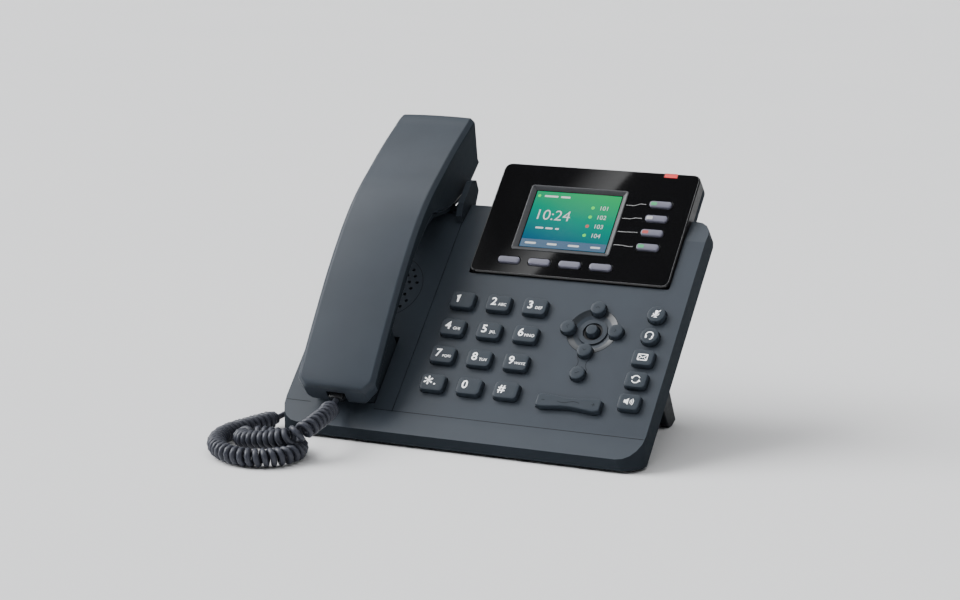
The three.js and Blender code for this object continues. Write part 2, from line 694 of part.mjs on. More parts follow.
place(head, "head_bezel", headBezel(), GLOSS_BLACK);
place(head, "head_rear_cover", headRearCover(), SLATE_DARK);
place(head, "display_window", displayWindow(), GLOSS_BLACK);
place(head, "lcd_panel", raised(aroundLcd(LCD.width + 8, LCD.height + 5, 0.6), -7.2, -4.4), PANEL_GREEN);
place(head, "message_led", lamp(0), LAMP_RED);

// ---------- handset ----------

const handsetOutline = [...HANDSET_UNDER, ...HANDSET_BACK];
const handsetPlan = roundRect(HANDSET_WIDTH, 186, 5.5, 5, HANDSET_X, 92.1, 2);

// The upper shell: the long curved back with its two ends, open along the underside
function handsetBackShell() {
  const block = across(handsetOutline, HANDSET_WIDTH, HANDSET_X, HANDSET_BEVEL)
    .intersect(raised(handsetPlan, -30, 60));
  const under = HANDSET_UNDER.length - 1;
  const openBelow = (i) => (i < under ? -9 : HANDSET_WALL);
  const roomWidth = HANDSET_WIDTH - 2 * HANDSET_WALL - 1;
  const room = across(inset(handsetOutline, openBelow), roomWidth, HANDSET_X);
  const notch = box([HANDSET_X - 5.3, -4, 0], [HANDSET_X + 5.3, 4, 11.4]);
  return cut(block, room, notch);
}

// A round recess or hole from one height to another in the lower shell
const bore = (radius, s, from, to, sides, x = 0) => disc(radius, from, to, HANDSET_X + x, s, sides);

// The lower shell: a strip along the grip with the ear and mouth pieces that rest in the cradle
function handsetFrontShell() {
  const strip = [
    ...HANDSET_UNDER.map(([s, n]) => [Math.max(s, 3), n - GAP - 0.1]).slice(1),
    ...HANDSET_UNDER.map(([s, n]) => [s, n - 3]).slice(1).reverse(),
  ];
  const body = union(
    across(strip, 40, HANDSET_X), across(HOOK_NOSE, NOSE_WIDTH, HANDSET_X),
    across(EAR_BOSS, BOSS_WIDTH, HANDSET_X), across(MOUTH_BOSS, BOSS_WIDTH, HANDSET_X));
  const openings = [
    bore(RECEIVER.radius + 0.4, RECEIVER.s, RECEIVER.bottom - 0.4, 20, 24),
    bore(MICROPHONE.radius + 0.8, MICROPHONE.s, MICROPHONE.bottom - 0.4, 20, 16),
    bore(1, MICROPHONE.s, -10, -2, 6),
  ];
  for (let i = 0; i < LISTEN.count; i++) {
    const a = (i * 2 * Math.PI) / LISTEN.count;
    const s = RECEIVER.s + LISTEN.ring * Math.sin(a);
    openings.push(bore(LISTEN.radius, s, -14, -6, 6, LISTEN.ring * Math.cos(a)));
  }
  const jackRoom = box([HANDSET_X - 6.3, 0, 3.9], [HANDSET_X + 6.3, 17.8, 30]);
  return cut(body, ...openings, jackRoom);
}

function handsetJack() {
  const block = box([HANDSET_X - 5.8, 4.5, 4.3], [HANDSET_X + 5.8, 17.3, 12.6]);
  return cut(block, box([HANDSET_X - 4.2, 0, 5.2], [HANDSET_X + 4.2, 15, 10.9]));
}

const capsule = ({ radius, s, bottom, top }, sides) => disc(radius, bottom, top, HANDSET_X, s, sides);

place(face, "handset_back_shell", handsetBackShell(), SLATE);
place(face, "handset_front_shell", handsetFrontShell(), SLATE_DARK);
place(face, "handset_receiver", capsule(RECEIVER, 24), RUBBER);
place(face, "handset_microphone", capsule(MICROPHONE, 16), RUBBER);
place(face, "handset_jack", handsetJack(), RUBBER);

// ---------- curly cord ----------

function handsetPlug() {
  return box([HANDSET_X - 3.8, -1.2, 5.6], [HANDSET_X + 3.8, 13, 10.2]);
}

function basePlug() {
  const [wide, tall] = PLUG.half;
  return box(
    [-TUB.half - PLUG.outside, JACK.y - wide, JACK.z - tall],
    [-TUB.half + PLUG.inside, JACK.y + wide, JACK.z + tall]);
}

place(face, "handset_plug", handsetPlug(), CLEAR_PLASTIC);
place(part, "handset_lead", tube(LEAD_TOP, CORD.wire, 8, 3), SLATE_DARK);
place(part, "cord_coil", tube(COIL, CORD.outer, 10, 78), SLATE_DARK);
place(part, "base_lead", tube(LEAD_SIDE, CORD.wire, 8, 6), SLATE_DARK);
place(part, "base_plug", basePlug(), CLEAR_PLASTIC);

export default phone;
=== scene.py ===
# Looks of the desk IP phone: camera, cord, detailed pieces, materials, studio.
# Local drawings are in millimetres: body (x, y, z) from the front crease, face (x, s, n) with s up
# the slope and n out of it, and display head (x, y, n); the matrices below bring them into the frame.
import json
import math

import bmesh
import bpy
from mathutils import Matrix, Vector

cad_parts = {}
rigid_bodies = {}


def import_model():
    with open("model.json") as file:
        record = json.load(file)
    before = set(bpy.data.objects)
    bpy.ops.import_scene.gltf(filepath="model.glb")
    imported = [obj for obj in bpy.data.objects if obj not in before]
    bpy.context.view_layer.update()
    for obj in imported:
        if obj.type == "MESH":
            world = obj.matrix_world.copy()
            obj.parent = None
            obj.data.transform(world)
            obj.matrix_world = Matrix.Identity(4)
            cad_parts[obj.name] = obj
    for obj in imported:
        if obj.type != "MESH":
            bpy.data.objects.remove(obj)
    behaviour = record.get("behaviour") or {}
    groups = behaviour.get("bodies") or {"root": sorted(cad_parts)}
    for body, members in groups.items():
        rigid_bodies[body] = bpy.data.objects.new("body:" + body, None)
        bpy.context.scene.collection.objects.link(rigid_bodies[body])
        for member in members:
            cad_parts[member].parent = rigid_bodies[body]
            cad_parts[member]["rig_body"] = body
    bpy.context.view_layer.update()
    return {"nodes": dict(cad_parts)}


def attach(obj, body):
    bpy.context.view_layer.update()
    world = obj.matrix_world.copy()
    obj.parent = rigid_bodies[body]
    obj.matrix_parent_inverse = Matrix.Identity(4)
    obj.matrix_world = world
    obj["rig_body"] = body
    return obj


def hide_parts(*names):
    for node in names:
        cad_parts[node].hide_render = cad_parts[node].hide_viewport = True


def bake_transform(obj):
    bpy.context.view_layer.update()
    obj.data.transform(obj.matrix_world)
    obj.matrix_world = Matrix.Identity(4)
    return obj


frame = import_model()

scene = bpy.context.scene
nodes = frame["nodes"]

# ---------- driving dimensions, millimetres ----------

MM = 0.001
TILT = math.radians(44)
HEAD_LEAN = math.radians(1)
CREASE_Z = 15.7
MIDDLE_Y = 60.8
KEY_TOP = 3.0

BODY = Matrix.Scale(MM, 4) @ Matrix.Translation((0, -MIDDLE_Y, 0))
FACE = BODY @ Matrix.Translation((0, 0, CREASE_Z)) @ Matrix.Rotation(TILT, 4, "X")
HEAD = FACE @ Matrix.Translation((32.9, 90.8, 1.7)) @ Matrix.Rotation(HEAD_LEAN, 4, "X")

HANDSET_X = -67.4
BASE_WIDTH = 202.3
HANDSET_WIDTH = 45.6

# ---------- camera ----------

AZIMUTH, ELEVATION = math.radians(24.2), math.radians(12.13)
AIM = BODY @ Vector((-10.8, 40, 66.2))
DISTANCE = 1.229


def make_camera():
    data = bpy.data.cameras.new("camera")
    data.sensor_width = 36
    data.lens = 87.76
    data.shift_x, data.shift_y = 0.0087, 0.0063
    data.clip_start, data.clip_end = 0.05, 50
    back = Vector((
        math.sin(AZIMUTH) * math.cos(ELEVATION),
        -math.cos(AZIMUTH) * math.cos(ELEVATION),
        math.sin(ELEVATION)))
    camera = bpy.data.objects.new("camera", data)
    camera.location = AIM + back * DISTANCE
    camera.rotation_mode = "QUATERNION"
    camera.rotation_quaternion = (-back).to_track_quat("-Z", "Y")
    scene.collection.objects.link(camera)
    scene.camera = camera


make_camera()

# ---------- mesh helpers ----------


def piece(name, vertices, faces, body, material, sharp=35):
    """A mesh of points in metres that rides on a CAD body; edges flatter than sharp degrees are smooth."""
    mesh = bpy.data.meshes.new(name)
    mesh.from_pydata([tuple(v) for v in vertices], [], faces)
    made = bmesh.new()
    made.from_mesh(mesh)
    bmesh.ops.recalc_face_normals(made, faces=made.faces)
    made.to_mesh(mesh)
    made.free()
    mesh.shade_smooth()
    mesh.set_sharp_from_angle(angle=math.radians(sharp))
    mesh.materials.append(material)
    shown = bpy.data.objects.new(name, mesh)
    scene.collection.objects.link(shown)
    if body:
        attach(shown, body)
    return shown


def loft(rings, matrix, caps=(True, True)):
    """Points and faces of a closed skin through rings of equally many local points."""
    count = len(rings[0])
    vertices = [matrix @ Vector(p) for ring in rings for p in ring]
    faces = []
    for i in range(len(rings) - 1):
        low, high = i * count, (i + 1) * count
        for j in range(count):
            k = (j + 1) % count
            faces.append((low + j, low + k, high + k, high + j))
    if caps[0]:
        faces.append(tuple(range(count)))
    if caps[1]:
        faces.append(tuple((len(rings) - 1) * count + j for j in range(count)))
    return vertices, faces


def join(*parts):
    """Several (vertices, faces) in one."""
    vertices, faces = [], []
    for some_vertices, some_faces in parts:
        base = len(vertices)
        vertices += list(some_vertices)
        faces += [tuple(i + base for i in face) for face in some_faces]
    return vertices, faces


def arc(x, y, radius, start, stop, steps):
    turn = [math.radians(start + (stop - start) * i / steps) for i in range(steps + 1)]
    return [(x + radius * math.cos(a), y + radius * math.sin(a)) for a in turn]


def round_rect(width, height, radius, x=0.0, y=0.0, steps=8):
    w, h = width / 2 - radius, height / 2 - radius
    return (arc(x + w, y - h, radius, -90, 0, steps) + arc(x + w, y + h, radius, 0, 90, steps)
            + arc(x - w, y + h, radius, 90, 180, steps) + arc(x - w, y - h, radius, 180, 270, steps))


def circle(radius, x=0.0, y=0.0, sides=48):
    return arc(x, y, radius, 0, 360 - 360 / sides, sides - 1)


def pillow(outline, bottom, top, edge, crown=0.0, draft=0.0, steps=5, crown_rings=4, reach=1.0):
    """Rings of a cap: straight sides, a round edge and a slightly domed top. outline(inset) draws it."""
    rings = [[(x, y, bottom) for x, y in outline(0)], [(x, y, top - edge) for x, y in outline(draft)]]
    for i in range(1, steps + 1):
        a = math.pi / 2 * i / steps
        inset = draft + edge * (1 - math.cos(a))
        rings.append([(x, y, top - edge + edge * math.sin(a)) for x, y in outline(inset)])
    for i in range(1, crown_rings + 1):
        share = i / crown_rings
        inset = draft + edge + reach * share
        rise = crown * (1 - (1 - share) ** 2)
        rings.append([(x, y, top + rise) for x, y in outline(inset)])
    return rings


def rounded(shown, width, segments=2, angle=28, sharp=30):
    """Rounds the sharp edges of a shown piece and lets its large faces set the shading."""
    shown.data.shade_smooth()
    shown.data.set_sharp_from_angle(angle=math.radians(sharp))
    edges = shown.modifiers.new("edges", "BEVEL")
    edges.width = width * MM
    edges.segments = segments
    edges.limit_method = "ANGLE"
    edges.angle_limit = math.radians(angle)
    edges.harden_normals = True
    weights = shown.modifiers.new("shading", "WEIGHTED_NORMAL")
    weights.keep_sharp = True


def detailed(node, material, bevel=0.3, segments=2, angle=28, sharp=30):
    """A copy of a CAD node with its flat faces joined and its edges rounded, shown in the node's place."""
    made = bmesh.new()
    made.from_mesh(nodes[node].data)
    bmesh.ops.remove_doubles(made, verts=made.verts, dist=2e-6)
    bmesh.ops.dissolve_limit(
        made, angle_limit=math.radians(0.6), verts=made.verts, edges=made.edges,
        use_dissolve_boundaries=False)
    bmesh.ops.recalc_face_normals(made, faces=made.faces)
    mesh = bpy.data.meshes.new(node + "_shown")
    made.to_mesh(mesh)
    made.free()
    mesh.materials.append(material)
    shown = bpy.data.objects.new(mesh.name, mesh)
    scene.collection.objects.link(shown)
    rounded(shown, bevel, segments, angle, sharp)
    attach(shown, nodes[node]["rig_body"])
    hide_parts(node)
    return shown


# ---------- materials ----------


class Nodes:
    """A short way to build a node material."""

    def __init__(self, name):
        self.material = bpy.data.materials.new(name)
        self.material.use_nodes = True
        self.tree = self.material.node_tree
        self.shader = self.tree.nodes["Principled BSDF"]

    def add(self, kind, **values):
        node = self.tree.nodes.new("ShaderNode" + kind)
        for key, value in values.items():
            setattr(node, key, value)
        return node

    def link(self, source, target):
        self.tree.links.new(source, target)

    def place(self, space="Object"):
        return self.add("TexCoord").outputs[space]

    def noise(self, scale, detail=2.0, roughness=0.5):
        node = self.add("TexNoise")
        node.inputs["Scale"].default_value = scale
        node.inputs["Detail"].default_value = detail
        node.inputs["Roughness"].default_value = roughness
        self.link(self.place(), node.inputs["Vector"])
        return node.outputs["Fac"]

    def spread(self, value, low, high, start=0.3, stop=0.7):
        node = self.add("MapRange")
        for key, number in (("From Min", start), ("From Max", stop), ("To Min", low), ("To Max", high)):
            node.inputs[key].default_value = number
        self.link(value, node.inputs["Value"])
        return node.outputs["Result"]

    def mix(self, factor, a, b):
        node = self.add("Mix", data_type="RGBA")
        self.link(factor, node.inputs["Factor"])
        node.inputs["A"].default_value = (*a, 1)
        node.inputs["B"].default_value = (*b, 1)
        return node.outputs["Result"]

    def bump(self, height, strength, distance, onto=None):
        node = self.add("Bump")
        node.inputs["Strength"].default_value = strength
        node.inputs["Distance"].default_value = distance
        self.link(height, node.inputs["Height"])
        if onto is not None:
            self.link(onto, node.inputs["Normal"])
        return node.outputs["Normal"]


def plastic(name, color, roughness, grain=0.25, grain_scale=2600, wear=0.06, coat=0.0, specular=0.5,
            painted_glow=0.0):
    """Moulded plastic: a fine spark texture, faint cloudiness of colour and sheen, and an optional faint white glow
    that is painted light.
    """
    made = Nodes(name)
    cloud = made.noise(38, 3)
    light = tuple(min(1, c * (1 + wear)) for c in color)
    dark = tuple(c * (1 - wear) for c in color)
    made.link(made.mix(made.spread(cloud, 0, 1), dark, light), made.shader.inputs["Base Color"])
    sheen = made.spread(made.noise(420, 3), roughness - 0.05, roughness + 0.05)
    made.link(sheen, made.shader.inputs["Roughness"])
    spark = made.bump(made.noise(grain_scale, 3, 0.6), grain, 0.00006)
    made.link(made.bump(made.noise(160, 2), 0.05, 0.0002, spark), made.shader.inputs["Normal"])
    made.shader.inputs["Specular IOR Level"].default_value = specular
    made.shader.inputs["Emission Color"].default_value = (1, 1, 1, 1)
    made.shader.inputs["Emission Strength"].default_value = painted_glow
    made.shader.inputs["Coat Weight"].default_value = coat
    made.shader.inputs["Coat Roughness"].default_value = 0.12
    return made.material


def gloss(name, color, roughness=0.06, coat=0.6):
    """Polished plastic with a faint ripple and hairline dust in its sheen."""
    made = Nodes(name)
    made.link(made.mix(made.spread(made.noise(60, 2), 0, 1), color, tuple(c * 1.15 for c in color)),
              made.shader.inputs["Base Color"])
    made.link(made.spread(made.noise(900, 4), roughness, roughness + 0.015), made.shader.inputs["Roughness"])
    made.link(made.bump(made.noise(45, 1), 0.015, 0.0003), made.shader.inputs["Normal"])
    made.shader.inputs["Coat Weight"].default_value = coat
    made.shader.inputs["Coat Roughness"].default_value = 0.03
    return made.material


def metal(name, color, roughness):
    made = Nodes(name)
    made.link(made.mix(made.spread(made.noise(300, 4), 0, 1), tuple(c * 0.85 for c in color), color),
              made.shader.inputs["Base Color"])
    sheen = made.spread(made.noise(1500, 3), roughness - 0.08, roughness + 0.1)
    made.link(sheen, made.shader.inputs["Roughness"])
    made.link(made.bump(made.noise(1100, 3), 0.12, 0.00005), made.shader.inputs["Normal"])
    made.shader.inputs["Metallic"].default_value = 1
    return made.material


def glow(name, color, strength, base=(0.02, 0.02, 0.02)):
    """A lit part of the display under its polished window."""
    made = Nodes(name)
    made.link(made.mix(made.spread(made.noise(500, 2), 0, 1), color, tuple(c * 0.94 for c in color)),
              made.shader.inputs["Emission Color"])
    made.shader.inputs["Emission Strength"].default_value = strength
    made.shader.inputs["Base Color"].default_value = (*base, 1)
    made.shader.inputs["Roughness"].default_value = 0.25
    return made.material


SLATE = plastic("slate_plastic", (0.032, 0.040, 0.051), 0.38, specular=0.15)
# A darker, duller copy of the slate plastic: painted shade on side walls, undersides and rear parts
SLATE_SHADED = plastic("slate_plastic_shaded", (0.020, 0.025, 0.031), 0.65, specular=0.02)
DISH = plastic("satin_dish", (0.018, 0.022, 0.027), 0.34, grain=0.06, specular=0.4)
SLATE_DARK = plastic("dark_slate_plastic", (0.010, 0.012, 0.015), 0.5, specular=0.08)
KEYCAP = plastic("key_plastic", (0.026, 0.034, 0.044), 0.36, grain=0.1, specular=0.15)
PILL = plastic("display_key_plastic", (0.125, 0.125, 0.165), 0.36, grain=0.08, specular=0.3)
BLACK_GLOSS = gloss("black_gloss", (0.003, 0.003, 0.0035), 0.015, coat=0.0)
BLACK_EDGE = plastic("black_edge", (0.007, 0.007, 0.008), 0.4, specular=0.15)
SURROUND = plastic("display_surround_grey", (0.035, 0.036, 0.04), 0.4, grain=0.1, specular=0.25)
RUBBER = plastic("foot_rubber", (0.012, 0.012, 0.013), 0.8, grain=0.5)
# The key print glows faintly: painted light that makes it read brighter
GLOWING_PRINT = plastic("white_print_painted_glow", (0.95, 0.96, 0.97), 0.5, grain=0.1, painted_glow=0.35)
ENGRAVED = plastic("engraved_mark", (0.006, 0.007, 0.009), 0.6, grain=0.1, specular=0.1)
EDGE_HIGHLIGHT_GREY = plastic("painted_edge_highlight", (0.07, 0.07, 0.075), 0.4, grain=0.1)
LEADER = plastic("grey_line", (0.3, 0.3, 0.3), 0.5, grain=0.1)
JACK_BLACK = plastic("jack_plastic_black", (0.015, 0.015, 0.016), 0.5)
JACK_STEEL = metal("jack_shield", (0.62, 0.63, 0.64), 0.3)
DRIVER = metal("driver_can", (0.3, 0.3, 0.31), 0.4)
BOARD = plastic("solder_resist", (0.02, 0.11, 0.05), 0.35)
CORD_PLASTIC = plastic("cord_plastic", (0.036, 0.039, 0.052), 0.4, grain=0.1, specular=0.3)
CLEAR_PLUG = gloss("smoky_plug", (0.014, 0.015, 0.017), 0.25, coat=0.1)
LAMP = glow("lamp_lens", (0.9, 0.05, 0.05), 0.9, (0.3, 0.02, 0.02))

# ---------- the curly cord ----------

WIRE = 3.1
COIL_MEAN = 3.45
PITCH = 3.75
HANGING = 60
PARTING = (-102.8, -43.6, 5.5)
TOP_STRAIGHT = 6
SIDE_STRAIGHT = 19
EXIT = (-67.4, -4.9, 21.4)
TOP_LEAD = [EXIT, (-67.4, -7.4, 19.7)]
COIL = [
    (-67.6, -9.9, 17.9), (-65.2, -18.5, 18), (-62.6, -28, 17.9), (-61.4, -38.4, 17.5), (-61.4, -48.5, 16.3),
    (-64.6, -55, 14.4), (-71.4, -56.9, 12), (-80.1, -55.8, 10), (-89, -54, 8.3), (-96.8, -50.6, 6.7),
    (-102.8, -43.6, 5.5), (-103.6, -37.4, 5.1), (-98.3, -34.6, 5.1), (-90.7, -34, 5.1),
    (-82.7, -34.6, 5.1), (-75, -38.6, 5.1), (-68.4, -45.6, 5.1), (-65, -54.5, 5.1), (-66, -62.6, 5.1),
    (-70.2, -68.6, 5.1), (-76.5, -72.8, 5.1), (-84.4, -74.4, 5.1), (-94, -72.4, 5.1),
    (-103.6, -65.8, 5.1), (-110.6, -56.4, 5.1), (-114.4, -45.4, 5.1), (-114.7, -33.8, 5.1),
    (-112.4, -24, 5.1), (-109.8, -14.5, 5.1), (-107.3, -6.5, 5.1), (-106.2, -2.5, 5.1),
]
SIDE_LEAD = [
    (-105.4, 4, 5.3), (-104.4, 9.5, 6.2), (-101.9, 13.6, 7.2), (-98.4, 14.8, 7.6), (-97, 14.8, 7.6)]


def smooth_line(points, step):
    """A Catmull-Rom curve through the points, as points about step apart."""
    points = [Vector(p) for p in points]
    ends = [points[0] * 2 - points[1]] + points + [points[-1] * 2 - points[-2]]
    dense = []
    for i in range(len(points) - 1):
        a, b, c, d = ends[i:i + 4]
        for k in range(24):
            t = k / 24
            dense.append(0.5 * (2 * b + (c - a) * t + (2 * a - 5 * b + 4 * c - d) * t * t
                                + (3 * b - a - 3 * c + d) * t ** 3))
    dense.append(points[-1])
    line, gone = [dense[0]], 0.0
    for a, b in zip(dense, dense[1:]):
        length = (b - a).length
        while gone + length >= step:
            share = (step - gone) / length
            a = a.lerp(b, share)
            line.append(a)
            length = (b - a).length
            gone = 0.0
        gone += length
    line.append(dense[-1])
    return line


def carried_frames(line):
    """For each point of a line, its direction and a side vector that turns no more than it must."""
    frames = []
    side = None
    for i, point in enumerate(line):
        along = (line[min(i + 1, len(line) - 1)] - line[max(i - 1, 0)]).normalized()
        if side is None:
            side = along.cross(Vector((0, 0, 1))).normalized()
        side = (side - along * side.dot(along)).normalized()
        frames.append((point, along, side))
    return frames


def tube(line, diameter, sides):
    """Rings of a round tube along a line of points."""
    rings = []
    for point, along, side in carried_frames(line):
        other = along.cross(side)
        rings.append([
            point + (side * math.cos(a) + other * math.sin(a)) * diameter / 2
            for a in (2 * math.pi * k / sides for k in range(sides))])
    return rings


def softened(line, reach):
    """The line with every point moved to the middle of its neighbours up to reach points away."""
    soft = []
    for i in range(len(line)):
        near = min(reach, i, len(line) - 1 - i)
        soft.append(sum(line[i - near:i + near + 1], Vector()) / (2 * near + 1))
    return soft


def curly_line():
    """The wire's centreline: straight lead, coil, straight lead. The turns open up where the coil bends."""
    step = 0.2
    axis = carried_frames(softened(smooth_line(TOP_LEAD + COIL + SIDE_LEAD, step), 12))
    count = len(axis)
    wire, phase, last = [], 0.0, -1.0
    for i, (point, along, side) in enumerate(axis):
        a, b = axis[max(i - 12, 0)], axis[min(i + 12, count - 1)]
        bend = a[1].angle(b[1]) / max((b[0] - a[0]).length, 1e-6)
        hang = max(0, 1 - i * step / HANGING)
        touching = 1.02 * WIRE / max(1 - COIL_MEAN * bend, 0.3)
        phase += 2 * math.pi * step / max(PITCH * (1 + 0.6 * hang), touching)
        if phase - last < 2 * math.pi / 18:
            continue
        last = phase
        swell = max(min((i * step - TOP_STRAIGHT) / 7, ((count - 1 - i) * step - SIDE_STRAIGHT) / 7, 1), 0)
        radius = COIL_MEAN * swell * swell * (3 - 2 * swell)
        wire.append(point + (side * math.cos(phase) + along.cross(side) * math.sin(phase)) * radius)
    return wire[:-1] + [axis[-1][0]]


def make_cord():
    """The cord in two lengths that share a ring: one reaches the handset, the other lies on the desk."""
    line = curly_line()
    rings = tube(line, WIRE, 8)
    cut = min(range(len(line)), key=lambda i: (line[i] - Vector(PARTING)).length)
    for name, low, high, plug, stands_for in (
            ("curly_cord_handset_end", 0, cut, "handset_plug", ["handset_lead"]),
            ("curly_cord_desk_end", cut, len(line) - 1, "base_plug", ["cord_coil", "base_lead"])):
        vertices, faces = loft(rings[low:high + 1], BODY)
        cord = piece(name, vertices, faces, None, CORD_PLASTIC, sharp=60)
        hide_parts(*stands_for)
        if low == 0:
            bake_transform(cord)
        else:
            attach(cord, "base")


make_cord()

# ---------- flat marks: prints, engraved lines, symbols ----------


def ribbon(points, width, height=0.03, base=0.0, closed=False):
    """A flat line of some width along local points (x, y), raised a little off its surface."""
    points = [Vector(p) for p in points]
    left, right = [], []
    count = len(points)
    for i, p in enumerate(points):
        before = points[(i - 1) % count] if closed or i else None
        after = points[(i + 1) % count] if closed or i < count - 1 else None
        way = ((after or p) - (before or p)).normalized()
        normal = Vector((-way.y, way.x))
        if before is not None and after is not None:
            edge = (p - before).normalized()
            normal /= max(0.5, normal.dot(Vector((-edge.y, edge.x))))
        left.append(p + normal * width / 2)
        right.append(p - normal * width / 2)
    vertices, faces = [], []
    for a, b in zip(left, right):
        vertices += [(a.x, a.y, base), (b.x, b.y, base), (b.x, b.y, base + height), (a.x, a.y, base + height)]
    last = count if closed else count - 1
    for i in range(last):
        low, high = 4 * i, 4 * ((i + 1) % count)
        faces += [(low + j, low + (j + 1) % 4, high + (j + 1) % 4, high + j) for j in range(4)]
    if not closed:
        faces += [(3, 2, 1, 0), tuple(4 * (count - 1) + j for j in range(4))]
    return vertices, faces


def plate(points, height=0.03, base=0.0):
    """A flat shape with the outline given as local points (x, y)."""
    count = len(points)
    vertices = [(x, y, base) for x, y in points] + [(x, y, base + height) for x, y in points]
    sides = [(i, (i + 1) % count, count + (i + 1) % count, count + i) for i in range(count)]
    return vertices, sides + [tuple(reversed(range(count))), tuple(range(count, 2 * count))]


def text(words, size, bold=0.0, height=0.03):
    """Generic characters as a flat mesh about the origin, in millimetres."""
    font = bpy.data.curves.new("characters", "FONT")
    font.body = words
    font.size = size
    font.align_x = font.align_y = "CENTER"
    font.offset = bold
    font.extrude = height / 2
    font.resolution_u = 6
    holder = bpy.data.objects.new("characters", font)
    mesh = bpy.data.meshes.new_from_object(holder)
    vertices = [(v.co.x, v.co.y, v.co.z + height / 2) for v in mesh.vertices]
    faces = [tuple(f.vertices) for f in mesh.polygons]
    bpy.data.objects.remove(holder)
    bpy.data.curves.remove(font)
    bpy.data.meshes.remove(mesh)
    return vertices, faces


def shifted(drawing, x, y, n=0.0, scale=1.0, turn=0.0):
    """A local drawing moved to (x, y), n above its surface."""
    vertices, faces = drawing
    c, s = math.cos(turn), math.sin(turn)
    moved = [((v[0] * c - v[1] * s) * scale + x, (v[0] * s + v[1] * c) * scale + y, v[2] + n)
             for v in vertices]
    return moved, faces


def mark(name, drawing, matrix, body, material):
    vertices, faces = drawing
    made = piece(name, [matrix @ Vector(v) for v in vertices], faces, body, material)
    return made


# ---------- housings ----------

for node, look, edge in (
        ("front_housing", SLATE, 0.3), ("rear_housing", SLATE_SHADED, 0.4), ("stand_bracket", SLATE_DARK, 0.7),
        ("head_rear_cover", SLATE_SHADED, 0.6), ("handset_front_shell", SLATE_SHADED, 0.8),
        ("front_foot_left", RUBBER, 0.4), ("front_foot_right", RUBBER, 0.4),
        ("ethernet_jacks", JACK_STEEL, 0.15), ("dc_power_jack", JACK_BLACK, 0.3),
        ("base_handset_jack", JACK_BLACK, 0.3), ("handset_jack", JACK_BLACK, 0.3),
        ("handset_plug", CLEAR_PLUG, 0.4), ("base_plug", CLEAR_PLUG, 0.4), ("hook_plunger", SLATE_DARK, 0.3)):
    detailed(node, look, edge)

# The side walls and the faces that turn forward or down on the keypad housing get the darker, duller copy of the slate
# plastic: painted shade
housing = bpy.data.objects["front_housing_shown"].data
housing.materials.append(SLATE_SHADED)
for face in housing.polygons:
    face.material_index = 1 if abs(face.normal.x) > 0.8 or face.normal.z < 0.2 else 0


def make_horn_roots():
    """The webs that carry the cradle's horns, beside the ear end of the handset."""
    for side, name in ((-1, "left"), (1, "right")):
        x = HANDSET_X + side * 21.2
        low = [(x + u, 132.3 + v, -10.5) for u, v in round_rect(7.4, 3.0, 0.5, steps=3)]
        high = [(u, v, 1.6 - 1.7 * (v - 130.8) / 3) for u, v, n in low]
        vertices, faces = loft([low, high], FACE)
        root = piece("horn_root_" + name, vertices, faces, "base", SLATE_DARK)
        rounded(root, 0.4)


make_horn_roots()

for node, look in (
        ("main_pcb", BOARD), ("keypad_membrane", RUBBER), ("speaker_driver", DRIVER), ("lcd_panel", JACK_BLACK),
        ("handset_receiver", DRIVER), ("handset_microphone", DRIVER)):
    for i in range(len(nodes[node].data.materials)):
        nodes[node].data.materials[i] = look


# ---------- handset ----------

UNDER = [
    (0, 4.5), (8, 9.3), (19.5, 13.4), (30.5, 15.8), (40, 17.4), (51, 19.2), (65, 21), (80, 22.3),
    (95, 22.2), (106, 21.2), (113.5, 18.6), (119.5, 12.4), (126, 6.2), (132, 2), (139, -1.4),
    (147, -4.4), (157, -6.6), (172.5, -8.1)]
BACK = [
    (1, 14.6), (4, 16.4), (24, 20.9), (44, 24.8), (64, 28.4), (80, 30.5), (97, 31.9), (112, 31.8), (124, 30.4),
    (135, 28.3), (148, 25.8), (160, 23), (172, 19.7), (181.6, 16.6), (184.3, 10.5)]
CHAMFER = 2.3
END_CORNER = 5.3
STATIONS = 150


def even(points, count):
    """count + 1 points at even steps along a smooth curve through the given ones."""
    line = smooth_line([(x, y, 0) for x, y in points], 0.25)
    return [line[min(round(i * (len(line) - 1) / count), len(line) - 1)] for i in range(count + 1)]


def end_narrowing(distance):
    """How much the half width shrinks at a distance from an end, for corners cut off at END_CORNER."""
    return max(END_CORNER - distance, 0)


def handset_shell():
    rings = []
    for under, back in zip(even(UNDER, STATIONS), even(BACK, STATIONS)):
        up = (back - under).normalized()
        thick = (back - under).length
        near = min((under.x + back.x) / 2 - 0.3, 178.6 - (under.x + back.x) / 2 + END_CORNER * 0.15)
        half = HANDSET_WIDTH / 2 - end_narrowing(max(near, 0))
        cut = min(CHAMFER, thick / 3)
        crown = [(half - cut) * (1 - 2 * k / 10) for k in range(11)]
        section = [(-half + cut, 0), (half - cut, 0), (half, cut), (half, thick - cut)]
        section += [(x, thick + 0.45 * (1 - (x / (half - cut)) ** 2)) for x in crown]
        section += [(-half, thick - cut), (-half, cut)]
        rings.append([(HANDSET_X + x, under.x + up.x * h, under.y + up.y * h) for x, h in section])
    return loft(rings, FACE)


def carve(shown, drawing, matrix):
    """Cuts a closed local drawing out of a shown piece."""
    vertices, faces = drawing
    cutter = piece("cutter", [matrix @ Vector(v) for v in vertices], faces, None, shown.data.materials[0])
    work = shown.modifiers.new("cut", "BOOLEAN")
    work.object = cutter
    work.solver = "EXACT"
    graph = bpy.context.evaluated_depsgraph_get()
    mesh = bpy.data.meshes.new_from_object(shown.evaluated_get(graph))
    shown.modifiers.clear()
    shown.data = mesh
    cutter_mesh = cutter.data
    bpy.data.objects.remove(cutter)
    bpy.data.meshes.remove(cutter_mesh)


